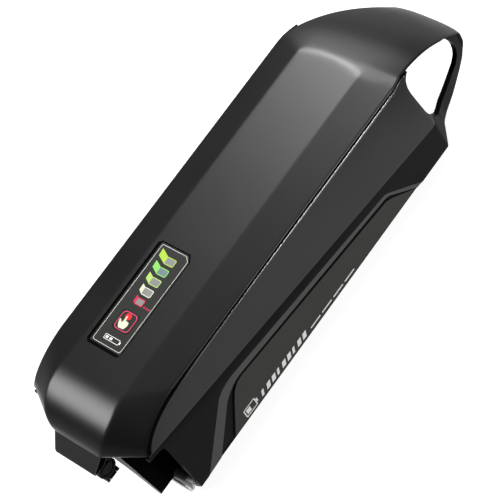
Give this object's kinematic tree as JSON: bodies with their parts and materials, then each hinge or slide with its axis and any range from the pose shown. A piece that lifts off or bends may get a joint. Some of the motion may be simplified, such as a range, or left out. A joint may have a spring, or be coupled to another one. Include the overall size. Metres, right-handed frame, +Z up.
{
  "type": "electric bicycle battery pack",
  "caption": "Removable battery pack for an electric bicycle: long faceted case, cover with charge display and check button, open nose bay with connector, and a loop handle at the other end.",
  "frame": {"origin": "middle of the flat base, on the surface that the pack stands on", "axes": "X along the pack with the display and connector end at -X and the carrying handle at +X, Y across it, Z up through the cover"},
  "size_m": [0.343, 0.093, 0.092],
  "materials": {
    "cover_plastic": "fine satin moulding",
    "case_plastic": "fine matte moulding",
    "liner_plastic": "matte moulding",
    "panel_plastic": "grained moulding",
    "inner_plastic": "matte moulding",
    "cap_rubber": "soft matte rubber",
    "steel": "plain",
    "aluminium": "drawn",
    "contact_brass": "plated",
    "vent_membrane": "woven membrane",
    "window_film": "printed film",
    "button_plastic": "printed film",
    "board_laminate": "solder mask",
    "led_resin": "clear resin",
    "light_guide_resin": "frosted resin",
    "fuse_body": "moulded",
    "cell_can": "shrink sleeve on a metal can",
    "insulator_paper": "calendered paper",
    "foam": "closed-cell foam",
    "lead_red": "silicone insulation",
    "lead_black": "silicone insulation",
    "lead_grey": "ribbon insulation"
  },
  "bodies": {
    "pack": {"top_cover": "cover_plastic", "lower_case": "case_plastic", "handle_liner": "liner_plastic", "side_panel_left": "panel_plastic", "side_panel_right": "panel_plastic", "front_bulkhead": "inner_plastic", "cheek_left": "inner_plastic", "cheek_right": "inner_plastic", "nose_visor": "case_plastic", "charge_socket": "steel", "cap_hinge_pin": "steel", "lock_bar": "aluminium", "bay_plate": "aluminium", "discharge_connector": "inner_plastic", "power_blades": "contact_brass", "signal_pins": "contact_brass", "vent_plug": "vent_membrane", "display_tray": "inner_plastic", "display_window": "window_film", "button_spring": "steel", "indicator_board": "board_laminate", "indicator_leds": "led_resin", "light_guide": "light_guide_resin", "battery_board": "board_laminate", "board_switches": "inner_plastic", "board_heat_sink": "aluminium", "main_fuse": "fuse_body", "cell_holder_left": "inner_plastic", "cell_holder_right": "inner_plastic", "cell_group_1": "cell_can", "cell_group_2": "cell_can", "cell_group_3": "cell_can", "cell_group_4": "cell_can", "cell_group_5": "cell_can", "cell_group_6": "cell_can", "cell_group_7": "cell_can", "cell_group_8": "cell_can", "cell_group_9": "cell_can", "cell_group_10": "cell_can", "busbars_left": "steel", "busbars_right": "steel", "insulator_left": "insulator_paper", "insulator_right": "insulator_paper", "foam_strip": "foam", "slide_rail": "aluminium", "rail_screws": "steel", "bulkhead_screws": "steel", "cover_screws": "steel", "positive_lead": "lead_red", "negative_lead": "lead_black", "display_lead": "lead_grey", "thermal_sensors": "inner_plastic"},
    "button": {"check_button": "button_plastic"},
    "port_cap": {"charge_port_cap": "cap_rubber"}
  },
  "joints": [
    {"name": "check_button_press", "type": "slide", "parent": "pack", "child": "button", "axis": [0, 0, -1], "range_m": [0, 0.0006], "stiffness_N_per_m": 1500, "deforming": ["button_spring"]},
    {"name": "port_cap_hinge", "type": "hinge", "parent": "pack", "child": "port_cap", "pos_m": [-0.163, -0.0102, 0.0374], "axis": [1, 0, 0], "range_deg": [0, 110]}
  ]
}
